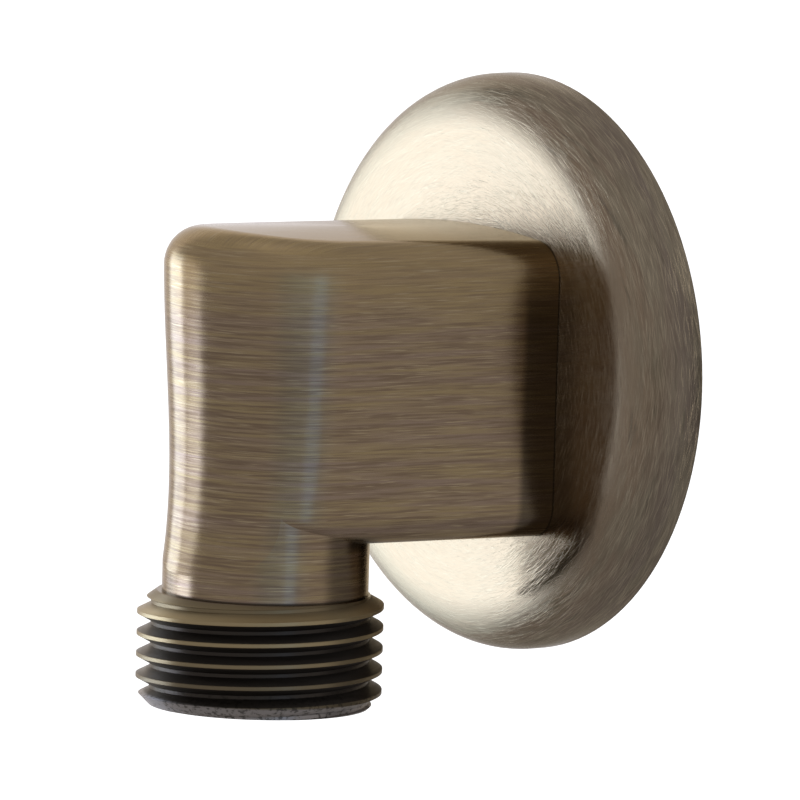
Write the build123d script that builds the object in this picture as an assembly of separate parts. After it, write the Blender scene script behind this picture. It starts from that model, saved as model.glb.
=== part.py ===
from build123d import *
from math import asin, atan2, cos, hypot, pi, radians, sin, tan
import os

# Wall outlet elbow, in millimetres. The origin is the middle of the wall face, on the inlet's axis.
# +Z is up, the wall is the plane y = 0, and the arm reaches out of it along -Y.

# Wall flange: a hollow disc with a flat front and a rounded edge
FLANGE_DIAMETER = 49.7
FLANGE_HEIGHT = 5.85
FLANGE_EDGE_RADIUS = 4.7
FLANGE_WALL = 1.6

# Inlet spigot, which the flange slips over, bored for a 1/2 inch female pipe thread
SPIGOT_DIAMETER = 23.4
SPIGOT_CLEARANCE = 0.15
SPIGOT_SET_BACK = 0.4
INLET_BORE = 18.63
INLET_DEPTH = 13.0
INLET_CHAMFER = 1.1
INLET_STEP_ANGLE = 59.0

# Arm: its width and crown height where it meets the flange, and its level underside
ARM_WIDTH = 25.0
ARM_TOP = 12.15
ARM_TOP_RISE_ANGLE = 1.2
ARM_TOP_CROWN_RADIUS = 80.0
ARM_UNDERSIDE_DROP = 13.75
TOP_EDGE_RADIUS = 3.3
UNDERSIDE_EDGE_RADIUS = 2.8

# Leg and turned neck: at each level the leg's front is rounder than the neck and set back from it
OUTLET_REACH = 27.3
NECK_SET_BACK = 0.44
NECK_RADIUS = 8.78
LEG_TOP_SWELL = 2.3
LEG_TOP_SET_BACK = 2.3
LEG_MIDDLE_DROP = 1.8
LEG_MIDDLE_SWELL = 1.32
LEG_MIDDLE_SET_BACK = 1.75
LEG_WAIST_DROP = 9.8
LEG_WAIST_SWELL = 0.8
LEG_WAIST_SET_BACK = 1.45
LEG_FLARE_SWELL = 0.4

# Outlet thread: 1/2 inch parallel pipe thread, 14 turns to the inch, with flats at crest and root
THREAD_DIAMETER = 20.955
THREAD_PITCH = 25.4 / 14
THREAD_DEPTH = 1.162
THREAD_FLAT = 0.3
THREAD_CREST_DROP = 19.67
THREAD_START_DROP = 18.45
THREAD_START_LEDGE = 0.42
THREAD_START_ANGLE = 53.5
OUTLET_END_DROP = 28.1
OUTLET_END_CHAMFER = 1.08

# Water way from the inlet to the outlet
WATER_BORE = 13.0
WATER_MOUTH_CHAMFER = 0.5

# Distances that follow from the sizes above
NECK_REACH = OUTLET_REACH - NECK_SET_BACK
CREST_RADIUS = THREAD_DIAMETER / 2
ROOT_RADIUS = CREST_RADIUS - THREAD_DEPTH
WATER_RADIUS = WATER_BORE / 2

# Extra length of the cutting shapes past the faces that they cut, and how near counts as level
TRIM = 2.0
FAR = 100.0
NEAR = 0.01

# Steps in which each flank of the thread's slice is drawn, and the degrees in a turn
FLANK_STEPS = 6
TURN = 360.0


def leg_plan(swell, set_back, level):
    """Outline at one level: round the leg's front, then straight back to the arm's width at the flange."""
    radius = NECK_RADIUS + swell
    reach = NECK_REACH - set_back
    run = reach - FLANGE_HEIGHT
    half_width = ARM_WIDTH / 2
    spread = atan2(half_width, run) - asin(radius / hypot(half_width, run))
    touch_x = radius * cos(spread)
    touch_y = -reach - radius * sin(spread)
    back_x = half_width + TRIM * tan(spread)
    back_y = TRIM - FLANGE_HEIGHT
    front = ThreePointArc((-touch_x, touch_y), (0, -reach - radius), (touch_x, touch_y))
    sides = Polyline((touch_x, touch_y), (back_x, back_y), (-back_x, back_y), (-touch_x, touch_y))
    return Plane.XY.offset(level) * make_face(front + sides)


def crown_cylinder():
    """Large cylinder along the arm, whose skin is the crowned top that climbs a little to the front."""
    rise = radians(ARM_TOP_RISE_ANGLE)
    along_arm = Plane((0, -FLANGE_HEIGHT, ARM_TOP), x_dir=(1, 0, 0), z_dir=(0, -cos(rise), sin(rise)))
    return along_arm * Pos(0, -ARM_TOP_CROWN_RADIUS, 0) * Cylinder(ARM_TOP_CROWN_RADIUS, FAR)


def edges_off_shoulder(edges):
    """The edges among these that don't lie on the flat shoulder at the flange."""
    return [edge for edge in edges if edge.center().Y < -FLANGE_HEIGHT - NEAR]


def casting():
    """Arm, leg and neck: a teardrop skin with a crowned top, cut away under the arm round the neck."""
    skin = loft([
        leg_plan(LEG_FLARE_SWELL, 0, -THREAD_START_DROP),
        leg_plan(LEG_WAIST_SWELL, LEG_WAIST_SET_BACK, -LEG_WAIST_DROP),
        leg_plan(LEG_MIDDLE_SWELL, LEG_MIDDLE_SET_BACK, -LEG_MIDDLE_DROP),
        leg_plan(LEG_TOP_SWELL, LEG_TOP_SET_BACK, ARM_TOP + TRIM),
    ])
    behind_shoulder = Pos(0, FAR / 2 - FLANGE_HEIGHT, 0) * Box(FAR, FAR, FAR)
    form = ((skin & crown_cylinder()) - behind_shoulder).solid()

    # The arm ends at its level underside, and the leg goes on below it inside the neck's cylinder
    below = Pos(0, -NECK_REACH, -ARM_UNDERSIDE_DROP - FAR / 2) * Box(FAR, FAR, FAR)
    arm = (form - below).solid()
    top = arm.faces().filter_by(GeomType.CYLINDER).sort_by(Axis.Z)[-1]
    arm = arm.fillet(TOP_EDGE_RADIUS, edges_off_shoulder(top.edges()))
    bottom = arm.faces().sort_by(Axis.Z)[0]
    arm = arm.fillet(UNDERSIDE_EDGE_RADIUS, edges_off_shoulder(bottom.edges()))
    neck = Pos(0, -NECK_REACH, -FAR / 2) * Rot(0, 0, -90) * Cylinder(NECK_RADIUS, FAR)
    core = form & neck
    return arm + core


def around(radius, angle):
    """Point at an angle on a circle about the outlet's axis."""
    return (radius * cos(angle), radius * sin(angle))


def thread_section():
    """Level slice of the thread: a crest arc, a root arc and a spiral up each flank, one turn round."""
    half_flat = pi * THREAD_FLAT / THREAD_PITCH
    steps = [step / FLANK_STEPS for step in range(FLANK_STEPS + 1)]
    flank = [(CREST_RADIUS - THREAD_DEPTH * step, half_flat + (pi - 2 * half_flat) * step) for step in steps]
    crest = ThreePointArc(*[around(CREST_RADIUS, turn * half_flat) for turn in (-1, 0, 1)])
    root = ThreePointArc(*[around(ROOT_RADIUS, pi + turn * half_flat) for turn in (-1, 0, 1)])
    falling = Spline([around(radius, angle) for radius, angle in flank])
    rising = Spline([around(radius, -angle) for radius, angle in flank])
    return make_face([crest, falling, root, rising]).face()


def threaded_end():
    """Thread slice twisted once per pitch, chamfered about its own axis below and the neck's above."""
    length = OUTLET_END_DROP - THREAD_START_DROP
    turn_at_end = TURN * (THREAD_CREST_DROP - OUTLET_END_DROP) / THREAD_PITCH
    slice_at_end = Rot(0, 0, turn_at_end) * thread_section()
    twist = TURN * length / THREAD_PITCH
    thread = Solid.extrude_linear_with_rotation(slice_at_end, (0, 0, 0), (0, 0, length), twist)
    outer = CREST_RADIUS + NECK_SET_BACK + TRIM
    end_room = Plane.XZ * make_face(Polyline(
        (0, -TRIM), (CREST_RADIUS - OUTLET_END_CHAMFER - TRIM, -TRIM),
        (outer, outer - CREST_RADIUS + OUTLET_END_CHAMFER), (outer, length + TRIM), (0, length + TRIM),
        close=True))
    start_radius = NECK_RADIUS + THREAD_START_LEDGE
    start_slope = tan(radians(THREAD_START_ANGLE))
    start_room = Plane.XZ * make_face(Polyline(
        (0, -TRIM), (outer, -TRIM), (outer, length - (outer - start_radius) / start_slope),
        (start_radius - TRIM * start_slope, length + TRIM), (0, length + TRIM), close=True))
    thread = thread & revolve(end_room, Axis.Z) & Pos(0, NECK_SET_BACK, 0) * revolve(start_room, Axis.Z)
    return Pos(0, -OUTLET_REACH, -OUTLET_END_DROP) * thread


def water_way():
    """Space inside: the stepped inlet, the bend and the outlet bore, with chamfered mouths."""
    mouth = -SPIGOT_SET_BACK
    inlet_radius = INLET_BORE / 2
    inlet_end = mouth - INLET_DEPTH
    step = (inlet_radius - WATER_RADIUS) / tan(radians(INLET_STEP_ANGLE))
    inlet = make_face(Polyline(
        (0, mouth + TRIM), (inlet_radius + INLET_CHAMFER + TRIM, mouth + TRIM),
        (inlet_radius, mouth - INLET_CHAMFER), (inlet_radius, inlet_end), (WATER_RADIUS, inlet_end - step),
        (WATER_RADIUS, -OUTLET_REACH), (0, -OUTLET_REACH), close=True))
    outlet = Plane.XZ * make_face(Polyline(
        (0, 0), (WATER_RADIUS, 0), (WATER_RADIUS, WATER_MOUTH_CHAMFER - OUTLET_END_DROP),
        (WATER_RADIUS + WATER_MOUTH_CHAMFER + TRIM, -OUTLET_END_DROP - TRIM),
        (0, -OUTLET_END_DROP - TRIM), close=True))
    bend = Pos(0, -OUTLET_REACH, 0)
    return revolve(inlet, Axis.Y) + bend * Sphere(WATER_RADIUS) + bend * revolve(outlet, Axis.Z)


def elbow_body():
    """The casting with its spigot and threaded outlet, bored through."""
    spigot_length = FLANGE_HEIGHT - SPIGOT_SET_BACK
    spigot_middle = -SPIGOT_SET_BACK - spigot_length / 2
    spigot = Pos(0, spigot_middle, 0) * Rot(90, 0, 0) * Cylinder(SPIGOT_DIAMETER / 2, spigot_length)
    return casting() + spigot + threaded_end() - water_way()


def wall_flange():
    """Disc turned hollow from the back, with a hole that clears the spigot."""
    rim = FLANGE_DIAMETER / 2
    hole = SPIGOT_DIAMETER / 2 + SPIGOT_CLEARANCE
    edge_start = FLANGE_EDGE_RADIUS - FLANGE_HEIGHT
    edge_end = rim - FLANGE_EDGE_RADIUS
    inner_edge = FLANGE_EDGE_RADIUS - FLANGE_WALL
    back = FLANGE_WALL - FLANGE_HEIGHT
    outline = [
        Polyline((edge_end, back), (hole, back), (hole, -FLANGE_HEIGHT), (edge_end, -FLANGE_HEIGHT)),
        RadiusArc((edge_end, -FLANGE_HEIGHT), (rim, edge_start), -FLANGE_EDGE_RADIUS),
        Polyline((rim, edge_start), (rim, 0), (rim - FLANGE_WALL, 0), (rim - FLANGE_WALL, edge_start)),
        RadiusArc((rim - FLANGE_WALL, edge_start), (edge_end, back), inner_edge),
    ]
    return revolve(make_face(outline), Axis.Y)


os.makedirs("parts", exist_ok=True)
for node, shape in {"elbow_body": elbow_body(), "wall_flange": wall_flange()}.items():
    export_step(shape, f"parts/{node}.step")
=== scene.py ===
import math

import bmesh
import bpy
from mathutils import Matrix, Vector


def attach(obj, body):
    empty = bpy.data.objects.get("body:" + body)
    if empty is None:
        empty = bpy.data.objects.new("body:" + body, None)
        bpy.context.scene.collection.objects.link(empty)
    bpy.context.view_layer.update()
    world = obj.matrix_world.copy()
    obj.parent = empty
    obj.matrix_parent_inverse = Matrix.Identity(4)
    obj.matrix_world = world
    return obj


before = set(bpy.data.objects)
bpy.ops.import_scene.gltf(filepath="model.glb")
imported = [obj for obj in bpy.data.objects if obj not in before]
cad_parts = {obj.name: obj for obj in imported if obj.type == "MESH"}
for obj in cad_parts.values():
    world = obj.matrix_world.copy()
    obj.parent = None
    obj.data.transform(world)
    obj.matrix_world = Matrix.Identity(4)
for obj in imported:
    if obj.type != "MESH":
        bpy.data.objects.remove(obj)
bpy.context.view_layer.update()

# The scene is in metres, in the frame of the solids: +Z up, the wall flat at y = 0, the arm along -Y
MM = 0.001
UP = Vector((0, 0, 1))
ONTO_WALL = (1, 0, 1)

# The photograph's camera: angles in degrees, distances in metres
IMAGE_SIDE = 800
SENSOR = 36.0
FOCAL_PIXELS = 10633
CAMERA_AZIMUTH = 52.87
CAMERA_ELEVATION = 6.58
CAMERA_ROLL = 1.62
CAMERA_DISTANCE = 900 * MM
CLIP_START = 0.01
CLIP_END = 50
TARGET = Vector((0, -27.29, 0)) * MM
AIM_RIGHT = 11.32 * MM
AIM_UP = -1.765 * MM

# Pale floor well under the part and backdrop round it, in metres, and the paint that both have
FLOOR_LEVEL = -1.2
FLOOR_SIDE = 28.0
BACKDROP_RADIUS = 2.5
PAINT = (0.9, 0.9, 0.9, 1)
PAINT_ROUGHNESS = 0.9
PAINT_GLOW = (1, 1, 1, 1)
PAINT_GLOW_STRENGTH = 0.8

# Surround: its colours by height, and its patches by direction, cosine at their edge and core, and colour
SURROUND_BELOW = (0.42, 0.42, 0.44, 1)
SURROUND_LEVEL = (0.53, 0.53, 0.55, 1)
SURROUND_ABOVE = (0.58, 0.58, 0.60, 1)
LOWER_SPAN = (-1.0, 0.0)
UPPER_SPAN = (0.0, 0.8)
PATCHES = {
    "pale backdrop behind on the left": ((-0.91, 0.38, 0.17), (0.78, 0.93), (0.95, 0.93, 0.98, 1)),
    "glow on the left": ((-0.82, -0.57, -0.10), (0.92, 1.00), (1.20, 1.20, 1.25, 1)),
    "brighter wall on the right": ((0.94, 0.33, -0.14), (0.93, 0.99), (0.62, 0.62, 0.64, 1)),
    "dark room behind on the right": ((0.50, 0.86, -0.10), (0.85, 0.97), (0.22, 0.22, 0.23, 1)),
    "dark room at the front on the right": ((0.84, -0.53, -0.12), (0.94, 0.99), (0.42, 0.42, 0.42, 1)),
}

# Lights on the body's pieces and on the flange: places and sizes in metres, share faded at each edge
PART_MIDDLE = (0, -0.02, 0)
CARD_TINT = (0.54, 0.69, 1.0)
BACK_TINT = (1.0, 0.98, 0.95)
BODY_LIGHTS = {
    "left_card": {
        "place": (-0.068, -0.0508, -0.003), "aim": (0, -0.0508, -0.003), "size": (0.041, 0.056),
        "radiance": 5.3, "tint": CARD_TINT, "fade": 0.25},
    "low_left_card": {
        "place": (-0.068, -0.079, -0.0385), "aim": (0, -0.079, -0.0385), "size": (0.100, 0.046),
        "radiance": 5.7, "tint": CARD_TINT, "fade": 0.25},
    "right_box": {
        "place": (0.487, -0.112, -0.05), "size": (0.10, 0.30), "radiance": 0.46, "tint": (0.10, 0.40, 1.0)},
    "wide_right_box": {
        "place": (0.470, -0.200, -0.02), "size": (0.80, 0.50), "radiance": 0.42, "tint": (0.26, 0.60, 1.0),
        "fade": 0.5},
    "top_box": {
        "place": (-0.05, -0.05, 0.40), "size": (0.4, 0.4), "radiance": 0.30, "tint": (0.97, 0.98, 1.0),
        "fade": 0.5},
    "inlet_box": {
        "place": (0, 0.60, 0.23), "size": (0.5, 0.24), "radiance": 2.5, "tint": BACK_TINT},
}
FLANGE_LIGHTS = {
    "flange_key": {
        "place": (-0.387577, -0.223767, -0.047038), "size": (1.04, 1.06), "radiance": 4.9,
        "tint": (0.60, 0.78, 1.0), "fade": 0.42},
    "back_box": {
        "place": (0, 0.60, 0), "size": (0.5, 0.5), "radiance": 1.5, "tint": BACK_TINT},
}

# Places on the part that its finish depends on, in millimetres
OUTLET_AXIS_Y = -27.3
NECK_END = -18.45
CREST_RADIUS = 10.48
PITCH = 25.4 / 14
FIRST_CREST = -19.67
UNDERSIDE = -13.75
OUTLET_END = -28.1
SEAM_Y = -5.85
WATER_RADIUS = 6.5
INLET_RADIUS = 9.315
INLET_STEP_Y = -15.2

# Inlet's female thread, in millimetres: its ridge, where it runs along the bore and how it runs out
RIDGE_SUNK = 0.1
RIDGE_HEIGHT = 0.5
RIDGE_HALF_BASE = 0.72
RIDGE_HALF_FLAT = 0.15
RIDGE_FROM = -12.6
RIDGE_TO = -1.9
RUN_OUT_TURNS = 0.5
RUN_OUT_LEAST = 0.05
STEPS_PER_TURN = 72

# Colours of the body, the thread, the flange, bare brass, dirt, painted light and painted shade, and of
# every gloss seen at a low angle
BRASS_DARK = (0.188, 0.130, 0.084, 1)
BRASS_YELLOW = (0.305, 0.224, 0.118, 1)
BRASS_PURPLE = (0.266, 0.190, 0.138, 1)
# Brass lighter and yellower towards the top of the body: part wear, part painted light
BRASS_WORN_AND_LIT = (0.350, 0.250, 0.124, 1)
# Pale scratches: part bared brass, part painted glint of light caught in them
BRASS_SCRATCH_AND_GLINT = (0.400, 0.310, 0.190, 1)
THREAD_GREY = (0.055, 0.046, 0.038, 1)
# Gold for the first flank, and for the worn crests, where it is also a painted highlight
THREAD_GOLD_AND_GLINT = (0.360, 0.275, 0.150, 1)
# Pale end of the thread: painted light from below
THREAD_END_LIT = (0.300, 0.270, 0.250, 1)
FLANGE_FACE = (0.253, 0.186, 0.124, 1)
FLANGE_RIM = (0.188, 0.149, 0.117, 1)
FLANGE_LINE = (0.150, 0.112, 0.078, 1)
# Pale scratches on the flange: part bared brass, part painted glint
FLANGE_SCRATCH_AND_GLINT = (0.370, 0.305, 0.215, 1)
FLANGE_OLIVE = (0.240, 0.203, 0.142, 1)
FLANGE_SMUDGE = (0.110, 0.093, 0.066, 1)
RAW_BRASS = (0.440, 0.320, 0.150, 1)
# Dark grime for the corroded end and the seam line, and painted shade on the body
GRIME_AND_SHADE = (0.030, 0.026, 0.021, 1)
EDGE_TINT = (0.85, 0.79, 0.69, 1)

# Noise: cycles per millimetre along x, y and z, its levels of detail and how rough they are
BAND_STRETCH = (0.05, 0.05, 1.3)
SIDE_LINE_STRETCH = (0.16, 0.16, 5.0)
TOP_LINE_STRETCH = (4.0, 0.12, 0.5)
SIDE_HAIR_STRETCH = (0.30, 0.30, 11.0)
TOP_HAIR_STRETCH = (9.0, 0.25, 0.5)
SPECKLE_STRETCH = (2.6, 2.6, 2.6)
RING_STRETCH = (0.2, 6.0, 0.2)
PLAIN_DETAIL = 2.0
LINE_DETAIL = 3.0
SPECKLE_DETAIL = 4.0
NOISE_ROUGHNESS = 0.55

# Body's brush lines: the slope, noise or height in millimetres over which each comes in, and how far
TOP_SLOPE_SPAN = (0.55, 0.85)
TOP_LEVEL_SPAN = (8.0, 9.0)
BAND_SPAN = (0.35, 0.65)
# Towards the top the body turns lighter and yellower and its dark lines fade: part wear, part painted light
WORN_AND_LIT_SPAN = (3.0, 11.5)
WORN_AND_LIT_REACH = (0.0, 0.8)
WORN_AND_LIT_LINE_REACH = (1.0, 0.45)
LINE_SPAN = (0.62, 0.32)
# Pale scratches on the body: part bared brass, part painted glint
HAIR_GLINT_SPAN = (0.55, 0.72)
HAIR_GLINT_REACH = (0.0, 0.75)

# Outlet's thread: the span of each mask in millimetres, radians or noise, and how far it goes
THREAD_SPAN = (NECK_END + 0.05, NECK_END - 0.10)
RUN_IN_SPAN = (-math.pi, -2.1)
FIRST_FLANK_SPAN = (-0.02, 0.12)
FLANK_GOLD_SPAN = (CREST_RADIUS - 1.5, CREST_RADIUS - 0.1)
FLANK_GOLD_REACH = (0.45, 1.0)
# Crests and their gold: wear with a painted highlight that dims towards the bottom
CREST_SPAN = (CREST_RADIUS - 0.09, CREST_RADIUS - 0.03)
CREST_GLINT_SPAN = (-27.0, -20.0)
CREST_GLINT_REACH = (0.25, 1.0)
# Over the end's chamfer the thread is painted paler, as light from below
LIT_END_SPAN = (OUTLET_END + 1.15, OUTLET_END + 0.95)
CORRODED_SPAN = (-25.6, -26.4)
SPECKLE_SPAN = (0.50, 0.62)
SPECKLE_REACH = (0.0, 0.7)

# Dark seam line and painted shade on the body, the shade beside the flange darker towards the bottom: the
# span of each mask in millimetres and how far it goes
FLANGE_SIDE_SHADE_SPAN = (SEAM_Y - 3.7, SEAM_Y - 2.8)
FLANGE_SIDE_SHADE_LEVEL_SPAN = (10.0, 5.0)
FLANGE_SIDE_SHADE_REACH = (0.0, 0.62)
SEAM_SPAN = (SEAM_Y - 0.14, SEAM_Y - 0.03)
SEAM_REACH = (0.0, 0.9)
NECK_END_SHADE_SPAN = (NECK_END + 0.22, NECK_END + 0.05)
NECK_END_SHADE_REACH = (0.0, 0.75)
UNDER_ARM_SHADE_UPPER_SPAN = (UNDERSIDE + 1.2, UNDERSIDE + 0.1)
UNDER_ARM_SHADE_LOWER_SPAN = (UNDERSIDE - 0.9, UNDERSIDE)
UNDER_ARM_SHADE_BACK_SPAN = (2.0, 3.5)
UNDER_ARM_SHADE_RADIUS_SPAN = (11.0, 9.6)
UNDER_ARM_SHADE_REACH = (0.0, 0.9)
TOP_BY_FLANGE_SHADE_SPAN = (-17.0, -10.0)
TOP_BY_FLANGE_SHADE_REACH = (0.0, 0.34)

# Bare brass on the spigot and in the water way: the span of each mask in millimetres, and its rings
WATER_SPAN = (WATER_RADIUS + 0.3, WATER_RADIUS + 0.2)
BEND_LEVEL_SPAN = (0.2, 0.0)
INLET_SPAN = (INLET_RADIUS + 0.3, INLET_RADIUS + 0.2)
INLET_STEP_SPAN = (INLET_STEP_Y - 0.2, INLET_STEP_Y)
SPIGOT_SPAN = (SEAM_Y + 0.02, SEAM_Y + 0.06)
RING_SPAN = (0.35, 0.65)
RING_REACH = (0.0, 0.6)

# Body's gloss: roughness by its lines, more in the thread and less on the flat top, and its relief
ROUGHNESS_SPAN = (0.25, 0.75)
BODY_ROUGHNESS = (0.22, 0.29)
THREAD_ROUGHNESS = 0.16
FLAT_TOP_SPAN = (0.92, 0.985)
FLAT_TOP_SHARE = 0.55
LINE_RELIEF = 0.7
HAIR_RELIEF = 0.3
BODY_RELIEF = 0.012 * MM
BODY_STREAK = 0.8

# Flange's brush lines: centres in millimetres, noise by direction and distance, and how fast its face turns
ARC_CENTRES = ((0, 0, 0), (4.5, 0, 0), (-4.5, 0, 0), (0, 0, 4.5), (0, 0, -4.5))
ARC_STRETCH = (7.0, 7.0, 8.5)
CLOUD_STRETCH = (2.6, 2.6, 0.5)
SMUDGE_STRETCH = (3.4, 3.4, 1.1)
DOME = 1 / 230

# Flange's tints: the noise or the depth in millimetres over which each comes in, and how far
RIM_SPAN = (SEAM_Y + 0.2, -1.5)
WEAR_SPAN = (SEAM_Y, -4.5)
CLOUD_SPAN = (0.42, 0.62)
CLOUD_REACH = (0.1, 0.7)
SMUDGE_SPAN = (0.58, 0.72)
SMUDGE_DEPTH_SPAN = (SEAM_Y, -5.2)
SMUDGE_REACH = (0.0, 0.6)
DARK_ARC_SPAN = (0.42, 0.30)
DARK_ARC_REACH = (0.16, 0.45)
# Pale scratch arcs: part bared brass, part painted glint
GLINT_ARC_SPAN = (0.57, 0.70)
GLINT_ARC_REACH = (0.18, 0.6)

# Flange's gloss: roughness by its lines, and its relief
FLANGE_ROUGHNESS = (0.16, 0.21)
SCRATCH_SPAN = (0.58, 0.70)
FLANGE_RELIEF = 0.005 * MM
FLANGE_STREAK = 0.95

# Turn of the gloss, as a share of a circle, that draws it out across the brush lines
ACROSS_LINES = 0.25


class Graph:
    """Short way to add and join nodes."""

    def __init__(self, tree):
        self.tree = tree

    def put(self, socket, value):
        """Join an output to a socket, or set the socket to a plain value."""
        if isinstance(value, bpy.types.NodeSocket):
            self.tree.links.new(value, socket)
        else:
            socket.default_value = value

    def add(self, kind, output=0, settings=None, **inputs):
        """Output of a new node, with its settings and inputs by name."""
        node = self.tree.nodes.new(kind)
        for key, value in (settings or {}).items():
            setattr(node, key, value)
        for key, value in inputs.items():
            self.put(node.inputs[key], value)
        return node.outputs[output]

    def math(self, operation, *values):
        """Result of an operation on numbers."""
        node = self.tree.nodes.new("ShaderNodeMath")
        node.operation = operation
        for socket, value in zip(node.inputs, values):
            self.put(socket, value)
        return node.outputs[0]

    def vector(self, operation, *values):
        """Result of an operation on vectors."""
        node = self.tree.nodes.new("ShaderNodeVectorMath")
        node.operation = operation
        for socket, value in zip(node.inputs, values):
            self.put(socket, value)
        return node.outputs["Value" if operation in ("LENGTH", "DOT_PRODUCT") else "Vector"]

    def part(self, vector, axis):
        """One coordinate of a vector."""
        node = self.tree.nodes.new("ShaderNodeSeparateXYZ")
        self.put(node.inputs[0], vector)
        return node.outputs[axis]

    def ramp(self, value, span, reach=(0.0, 1.0)):
        """Smooth step from one end of its reach to the other, as a value crosses a span."""
        node = self.tree.nodes.new("ShaderNodeMapRange")
        node.interpolation_type = "SMOOTHSTEP"
        for socket, setting in zip(node.inputs, (value, *span, *reach)):
            self.put(socket, setting)
        return node.outputs[0]

    def between(self, amount, first, second):
        """Number that goes from one to another."""
        return self.ramp(amount, (0.0, 1.0), (first, second))

    def all_of(self, first, *others):
        """Product of masks."""
        for other in others:
            first = self.math("MULTIPLY", first, other)
        return first

    def any_of(self, first, *others):
        """Largest of masks."""
        for other in others:
            first = self.math("MAXIMUM", first, other)
        return first

    def mix(self, amount, first, second):
        """Colour that goes from one to another."""
        node = self.tree.nodes.new("ShaderNodeMix")
        node.data_type = "RGBA"
        for key, value in (("Factor_Float", amount), ("A_Color", first), ("B_Color", second)):
            self.put(next(socket for socket in node.inputs if socket.identifier == key), value)
        return next(socket for socket in node.outputs if socket.identifier == "Result_Color")

    def noise(self, place, stretch, detail=PLAIN_DETAIL):
        """Noise with its own scale along each axis."""
        stretched = self.vector("MULTIPLY", place, stretch)
        return self.add("ShaderNodeTexNoise", Vector=stretched, Scale=1.0, Detail=detail,
                        Roughness=NOISE_ROUGHNESS)


def make_camera():
    """Camera at the photograph's viewing angle."""
    azimuth = math.radians(CAMERA_AZIMUTH)
    elevation = math.radians(CAMERA_ELEVATION)
    level_out = Vector((math.sin(azimuth), -math.cos(azimuth), 0))
    back = level_out * math.cos(elevation) + UP * math.sin(elevation)
    place = TARGET + back * CAMERA_DISTANCE
    level_right = Vector((math.cos(azimuth), math.sin(azimuth), 0))
    level_up = back.cross(level_right)
    ahead = (TARGET + level_right * AIM_RIGHT + level_up * AIM_UP - place).normalized()
    right = ahead.cross(UP).normalized()
    up = right.cross(ahead)
    roll = Matrix.Rotation(math.radians(CAMERA_ROLL), 3, "Z")
    turn = Matrix((right, up, -ahead)).transposed() @ roll
    data = bpy.data.cameras.new("camera")
    data.sensor_width = SENSOR
    data.lens = FOCAL_PIXELS * SENSOR / IMAGE_SIDE
    data.clip_start = CLIP_START
    data.clip_end = CLIP_END
    camera = bpy.data.objects.new("camera", data)
    camera.matrix_world = Matrix.Translation(place) @ turn.to_4x4()
    bpy.context.scene.collection.objects.link(camera)
    bpy.context.scene.camera = camera


def make_surround():
    """Even surround, brighter overhead, with the patches that show in the metal."""
    world = bpy.data.worlds.new("surround")
    world.use_nodes = True
    graph = Graph(world.node_tree)
    way = graph.add("ShaderNodeTexCoord", output="Generated")
    height = graph.part(way, "Z")
    shade = graph.mix(graph.ramp(height, LOWER_SPAN), SURROUND_BELOW, SURROUND_LEVEL)
    shade = graph.mix(graph.ramp(height, UPPER_SPAN), shade, SURROUND_ABOVE)
    for middle, span, patch in PATCHES.values():
        nearness = graph.vector("DOT_PRODUCT", way, middle)
        shade = graph.mix(graph.ramp(nearness, span), shade, patch)
    background = world.node_tree.nodes["Background"]
    graph.put(background.inputs["Color"], shade)
    bpy.context.scene.world = world


def area_light(name, pieces, place, size, radiance, tint, aim=PART_MIDDLE, fade=0.0):
    """Soft box or card that falls on some pieces only, given by radiance, with faded edges."""
    width, height = size
    data = bpy.data.lights.new(name, "AREA")
    data.shape = "RECTANGLE"
    data.size = width
    data.size_y = height
    data.energy = radiance * math.pi * width * height
    data.color = tint
    if fade:
        data.use_nodes = True
        graph = Graph(data.node_tree)
        across = graph.add("ShaderNodeNewGeometry", output="Parametric")
        spans = ((0.0, fade), (1.0, 1.0 - fade))
        edges = [graph.ramp(graph.part(across, axis), span) for axis in ("X", "Y") for span in spans]
        graph.put(data.node_tree.nodes["Emission"].inputs["Strength"], graph.all_of(*edges))
    light = bpy.data.objects.new(name, data)
    light.location = place
    light.rotation_euler = (Vector(aim) - Vector(place)).to_track_quat("-Z", "Y").to_euler()
    light.visible_camera = False
    lit = bpy.data.collections.new(name + "_lights")
    for piece in pieces:
        lit.objects.link(piece)
    light.light_linking.receiver_collection = lit
    bpy.context.scene.collection.objects.link(light)


def make_studio(body, flange):
    """Lights for the body's pieces and for the flange, with a floor and backdrop that aren't mirrored."""
    for name, settings in BODY_LIGHTS.items():
        area_light(name, body, **settings)
    for name, settings in FLANGE_LIGHTS.items():
        area_light(name, flange, **settings)

    bpy.ops.mesh.primitive_plane_add(size=FLOOR_SIDE, location=(0, 0, FLOOR_LEVEL))
    floor = bpy.context.object
    floor.name = "floor"
    bpy.ops.mesh.primitive_uv_sphere_add(radius=BACKDROP_RADIUS)
    backdrop = bpy.context.object
    backdrop.name = "backdrop"
    backdrop.visible_shadow = False
    paint = bpy.data.materials.new("floor_paint")
    paint.use_nodes = True
    shader = paint.node_tree.nodes["Principled BSDF"]
    shader.inputs["Base Color"].default_value = PAINT
    shader.inputs["Roughness"].default_value = PAINT_ROUGHNESS
    shader.inputs["Emission Color"].default_value = PAINT_GLOW
    shader.inputs["Emission Strength"].default_value = PAINT_GLOW_STRENGTH
    for scenery in (floor, backdrop):
        scenery.visible_glossy = False
        scenery.visible_diffuse = False
        scenery.data.materials.append(paint)
    bpy.context.scene.view_settings.view_transform = "Standard"


def brushed(name):
    """New material, its graph and the point on the part in millimetres."""
    material = bpy.data.materials.new(name)
    material.use_nodes = True
    graph = Graph(material.node_tree)
    coords = graph.add("ShaderNodeTexCoord", output="Object")
    place = graph.vector("MULTIPLY", coords, (1 / MM, 1 / MM, 1 / MM))
    return material, graph, place


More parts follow.
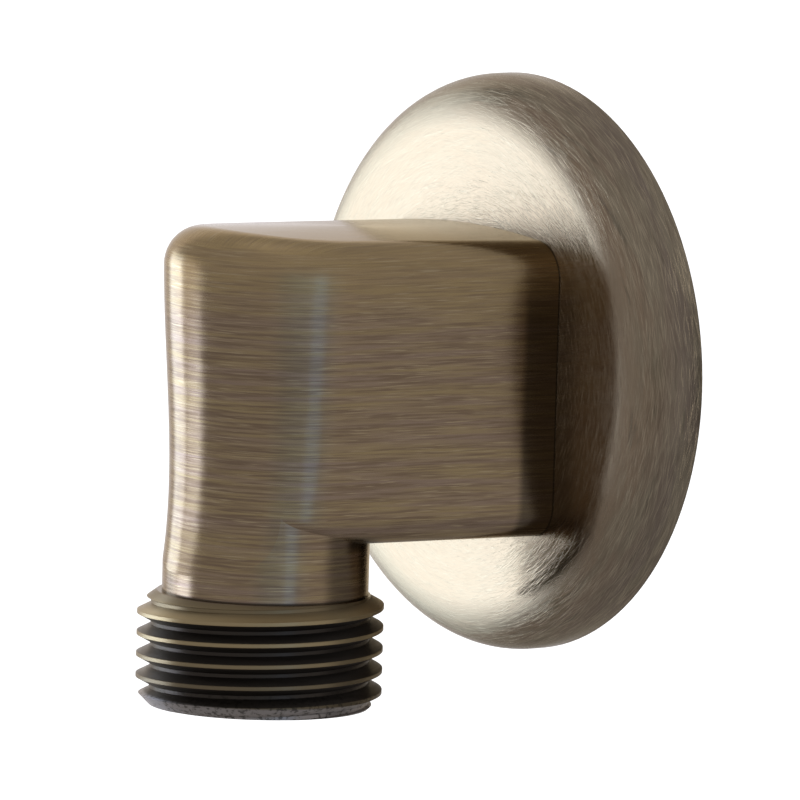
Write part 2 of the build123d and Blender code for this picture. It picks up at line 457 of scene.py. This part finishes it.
def finish_metal(material, graph, tint, roughness, height, relief, normal, brush_axis, streak):
    """Join a tint, roughness and height to the shader; the gloss is drawn out across the brush lines."""
    shader = material.node_tree.nodes["Principled BSDF"]
    shader.inputs["Metallic"].default_value = 1.0
    shader.inputs["Specular Tint"].default_value = EDGE_TINT
    shader.inputs["Anisotropic"].default_value = streak
    shader.inputs["Anisotropic Rotation"].default_value = ACROSS_LINES
    around_axis = {"direction_type": "RADIAL", "axis": brush_axis}
    graph.put(shader.inputs["Tangent"], graph.add("ShaderNodeTangent", settings=around_axis))
    graph.put(shader.inputs["Base Color"], tint)
    graph.put(shader.inputs["Roughness"], roughness)
    graph.put(shader.inputs["Normal"], graph.add(
        "ShaderNodeBump", Strength=1.0, Distance=relief, Height=height, Normal=normal))
    return material


def body_finish():
    """Brushed casting, lighter towards the top with part wear and part painted light, with painted shade
    and a dark seam line, a dark thread with worn crests under a painted highlight and a painted pale end,
    and bare brass inside.
    """
    material, graph, place = brushed("body_finish")
    level = graph.part(place, "Z")
    along = graph.part(place, "Y")
    forward = graph.math("SUBTRACT", along, OUTLET_AXIS_Y)
    off_axis = graph.add("ShaderNodeCombineXYZ", X=graph.part(place, "X"), Y=forward)
    radius = graph.vector("LENGTH", off_axis)
    normal = graph.add("ShaderNodeNewGeometry", output="Normal")
    slope = graph.part(normal, "Z")

    # Brush lines run level round the sides and along the arm on its top
    on_top = graph.all_of(graph.ramp(slope, TOP_SLOPE_SPAN), graph.ramp(level, TOP_LEVEL_SPAN))
    bands = graph.noise(place, BAND_STRETCH, LINE_DETAIL)
    side_lines = graph.noise(place, SIDE_LINE_STRETCH, LINE_DETAIL)
    top_lines = graph.noise(place, TOP_LINE_STRETCH, LINE_DETAIL)
    lines = graph.between(on_top, side_lines, top_lines)
    side_hairs = graph.noise(place, SIDE_HAIR_STRETCH)
    top_hairs = graph.noise(place, TOP_HAIR_STRETCH)
    hairs = graph.between(on_top, side_hairs, top_hairs)
    tint = graph.mix(graph.ramp(bands, BAND_SPAN), BRASS_YELLOW, BRASS_PURPLE)
    # Lighter and yellower towards the top, with fainter dark lines: part wear, part painted light
    tint = graph.mix(graph.ramp(level, WORN_AND_LIT_SPAN, WORN_AND_LIT_REACH), tint, BRASS_WORN_AND_LIT)
    line_depth = graph.ramp(level, WORN_AND_LIT_SPAN, WORN_AND_LIT_LINE_REACH)
    tint = graph.mix(graph.ramp(lines, LINE_SPAN, (0.0, line_depth)), tint, BRASS_DARK)
    # Pale scratches: part bared brass, part painted glint
    tint = graph.mix(graph.ramp(hairs, HAIR_GLINT_SPAN, HAIR_GLINT_REACH), tint, BRASS_SCRATCH_AND_GLINT)

    # Thread: grey-brown, with gold on the first flank and on the crests, where the gold is wear with a
    # painted highlight that dims towards the bottom, a paler end that is painted light from below, and a
    # corroded end
    in_thread = graph.ramp(level, THREAD_SPAN)
    turn = graph.math("ARCTAN2", forward, graph.part(place, "X"))
    crest_level = graph.math("MULTIPLY_ADD", turn, PITCH / math.tau, FIRST_CREST)
    run_in = graph.ramp(turn, RUN_IN_SPAN, (PITCH, 0.0))
    above_crest = graph.math("SUBTRACT", graph.math("SUBTRACT", level, crest_level), run_in)
    first_flank = graph.all_of(
        graph.ramp(above_crest, FIRST_FLANK_SPAN), graph.ramp(radius, FLANK_GOLD_SPAN, FLANK_GOLD_REACH))
    crest_wear_and_glint = graph.all_of(
        graph.ramp(radius, CREST_SPAN), graph.ramp(level, CREST_GLINT_SPAN, CREST_GLINT_REACH))
    thread_tint = graph.mix(graph.any_of(first_flank, crest_wear_and_glint), THREAD_GREY, THREAD_GOLD_AND_GLINT)
    # Painted light from below on the thread's end
    thread_tint = graph.mix(graph.ramp(level, LIT_END_SPAN), thread_tint, THREAD_END_LIT)
    speckle = graph.noise(place, SPECKLE_STRETCH, SPECKLE_DETAIL)
    corroded = graph.all_of(
        graph.ramp(level, CORRODED_SPAN), graph.ramp(speckle, SPECKLE_SPAN, SPECKLE_REACH))
    thread_tint = graph.mix(corroded, thread_tint, GRIME_AND_SHADE)
    tint = graph.mix(in_thread, tint, thread_tint)

    # Dark line at the seam, and painted shade: beside the flange, in a line at the neck's end, under the
    # arm, and on its top
    # Painted shade beside the flange, darker towards the bottom
    beside_flange_shade = graph.all_of(
        graph.ramp(along, FLANGE_SIDE_SHADE_SPAN), graph.ramp(level, FLANGE_SIDE_SHADE_LEVEL_SPAN, FLANGE_SIDE_SHADE_REACH))
    at_seam = graph.ramp(along, SEAM_SPAN, SEAM_REACH)
    # Painted shadow line round the neck's end
    neck_end_shade = graph.all_of(
        graph.ramp(level, NECK_END_SHADE_SPAN, NECK_END_SHADE_REACH), graph.math("SUBTRACT", 1.0, in_thread))
    # Painted shade under the arm, in the crease by the neck
    under_arm_shade = graph.all_of(
        graph.ramp(level, UNDER_ARM_SHADE_UPPER_SPAN, UNDER_ARM_SHADE_REACH), graph.ramp(level, UNDER_ARM_SHADE_LOWER_SPAN),
        graph.ramp(forward, UNDER_ARM_SHADE_BACK_SPAN), graph.ramp(radius, UNDER_ARM_SHADE_RADIUS_SPAN))
    # Painted shade on the top by the flange
    top_by_flange_shade = graph.all_of(on_top, graph.ramp(along, TOP_BY_FLANGE_SHADE_SPAN, TOP_BY_FLANGE_SHADE_REACH))
    for darkening in (beside_flange_shade, at_seam, neck_end_shade, under_arm_shade, top_by_flange_shade):
        tint = graph.mix(darkening, tint, GRIME_AND_SHADE)

    # Turned spigot and bored water way: bare brass with fine rings
    off_inlet = graph.vector("MULTIPLY", place, ONTO_WALL)
    past_bend = graph.add("ShaderNodeCombineXYZ", Y=graph.math("MINIMUM", forward, 0.0))
    from_inlet = graph.vector("LENGTH", graph.vector("ADD", off_inlet, past_bend))
    in_inlet = graph.ramp(from_inlet, WATER_SPAN)
    in_outlet = graph.all_of(graph.ramp(radius, WATER_SPAN), graph.ramp(level, BEND_LEVEL_SPAN))
    in_mouth = graph.all_of(graph.ramp(from_inlet, INLET_SPAN), graph.ramp(along, INLET_STEP_SPAN))
    on_spigot = graph.ramp(along, SPIGOT_SPAN)
    rings = graph.noise(place, RING_STRETCH, LINE_DETAIL)
    bare_tint = graph.mix(graph.ramp(rings, RING_SPAN, RING_REACH), RAW_BRASS, BRASS_DARK)
    tint = graph.mix(graph.any_of(in_inlet, in_outlet, in_mouth, on_spigot), tint, bare_tint)

    # Gloss and relief: duller in the thread, smoother on the flat top
    roughness = graph.ramp(lines, ROUGHNESS_SPAN, BODY_ROUGHNESS)
    roughness = graph.math("MULTIPLY_ADD", in_thread, THREAD_ROUGHNESS, roughness)
    flat_top = graph.ramp(slope, FLAT_TOP_SPAN)
    roughness = graph.math("MULTIPLY", roughness, graph.between(flat_top, 1.0, FLAT_TOP_SHARE))
    line_height = graph.math("MULTIPLY", lines, LINE_RELIEF)
    hair_height = graph.math("MULTIPLY", hairs, HAIR_RELIEF)
    height = graph.math("ADD", line_height, hair_height)
    return finish_metal(
        material, graph, tint, roughness, height, BODY_RELIEF, normal,
        brush_axis="Z", streak=BODY_STREAK)


def around(graph, place, centre):
    """Place on the flange by direction round a centre and distance from it, counted on over its edge."""
    flat = graph.vector("SUBTRACT", graph.vector("MULTIPLY", place, ONTO_WALL), centre)
    way = graph.vector("NORMALIZE", flat)
    over_edge = graph.math("SUBTRACT", graph.part(place, "Y"), SEAM_Y)
    distance = graph.math("ADD", graph.vector("LENGTH", flat), over_edge)
    return graph.add("ShaderNodeCombineXYZ", X=graph.part(way, "X"), Y=graph.part(way, "Z"), Z=distance)


def flange_finish():
    """Brush lines round the flange that cross at small angles, as from a pad held to it while it turns."""
    material, graph, place = brushed("flange_finish")
    ways = [around(graph, place, centre) for centre in ARC_CENTRES]
    arcs = [graph.noise(way, ARC_STRETCH) for way in ways]
    cloud = graph.noise(ways[0], CLOUD_STRETCH, LINE_DETAIL)
    smudge = graph.noise(ways[1], SMUDGE_STRETCH, LINE_DETAIL)

    # Brown face, greyer rim, and clouds, smudges and lines that are stronger towards the rim
    depth = graph.part(place, "Y")
    tint = graph.mix(graph.ramp(depth, RIM_SPAN), FLANGE_FACE, FLANGE_RIM)
    clouding = graph.ramp(depth, WEAR_SPAN, CLOUD_REACH)
    tint = graph.mix(graph.ramp(cloud, CLOUD_SPAN, (0.0, clouding)), tint, FLANGE_OLIVE)
    smudging = graph.ramp(depth, SMUDGE_DEPTH_SPAN, SMUDGE_REACH)
    tint = graph.mix(graph.ramp(smudge, SMUDGE_SPAN, (0.0, smudging)), tint, FLANGE_SMUDGE)
    dark_wear = graph.ramp(depth, WEAR_SPAN, DARK_ARC_REACH)
    pale_glint_reach = graph.ramp(depth, WEAR_SPAN, GLINT_ARC_REACH)
    height = 0.0
    for arc in arcs:
        tint = graph.mix(graph.ramp(arc, DARK_ARC_SPAN, (0.0, dark_wear)), tint, FLANGE_LINE)
        # Pale arcs: part bared brass, part painted glint
        tint = graph.mix(graph.ramp(arc, GLINT_ARC_SPAN, (0.0, pale_glint_reach)), tint, FLANGE_SCRATCH_AND_GLINT)
        height = graph.math("ADD", height, graph.ramp(arc, SCRATCH_SPAN))

    # Gloss, and a face that is shaded as very slightly domed
    roughness = graph.ramp(arcs[0], ROUGHNESS_SPAN, FLANGE_ROUGHNESS)
    outward = graph.vector("MULTIPLY", place, (DOME, 0, DOME))
    flat_normal = graph.add("ShaderNodeNewGeometry", output="Normal")
    domed = graph.vector("NORMALIZE", graph.vector("ADD", flat_normal, outward))
    return finish_metal(
        material, graph, tint, roughness, height, FLANGE_RELIEF, domed,
        brush_axis="Y", streak=FLANGE_STREAK)


def inlet_thread(finish):
    """Female thread in the inlet's bore: one ridge wound along it, run out into the wall at both ends."""
    turns = (RIDGE_TO - RIDGE_FROM) / PITCH
    steps = round(turns * STEPS_PER_TURN)
    wall = INLET_RADIUS + RIDGE_SUNK
    mesh = bmesh.new()
    rings = []
    for step in range(steps + 1):
        turned = turns * step / steps
        run_out = min(turned, turns - turned, RUN_OUT_TURNS) / RUN_OUT_TURNS
        crest = wall - (RIDGE_SUNK + RIDGE_HEIGHT) * max(run_out, RUN_OUT_LEAST)
        angle = math.tau * turned
        middle = RIDGE_FROM + PITCH * turned
        profile = (
            (wall, -RIDGE_HALF_BASE), (crest, -RIDGE_HALF_FLAT),
            (crest, RIDGE_HALF_FLAT), (wall, RIDGE_HALF_BASE))
        rings.append([
            mesh.verts.new(Vector((out * math.sin(angle), middle + shift, out * math.cos(angle))) * MM)
            for out, shift in profile])
    for ring, following in zip(rings, rings[1:]):
        for near in range(len(ring)):
            far = (near + 1) % len(ring)
            face = mesh.faces.new((ring[near], ring[far], following[far], following[near]))
            face.smooth = True
    mesh.faces.new(rings[0])
    mesh.faces.new(rings[-1])
    bmesh.ops.recalc_face_normals(mesh, faces=mesh.faces)
    for ring, following in zip(rings, rings[1:]):
        for near, far in zip(ring, following):
            mesh.edges.get((near, far)).smooth = False
    data = bpy.data.meshes.new("inlet_thread")
    mesh.to_mesh(data)
    mesh.free()
    data.materials.append(finish)
    thread = bpy.data.objects.new("inlet_thread", data)
    bpy.context.scene.collection.objects.link(thread)
    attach(thread, "root")
    return thread


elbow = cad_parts["elbow_body"]
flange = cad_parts["wall_flange"]
elbow.material_slots[0].material = body_finish()
flange.material_slots[0].material = flange_finish()
thread = inlet_thread(elbow.material_slots[0].material)
make_camera()
make_surround()
make_studio((elbow, thread), (flange,))
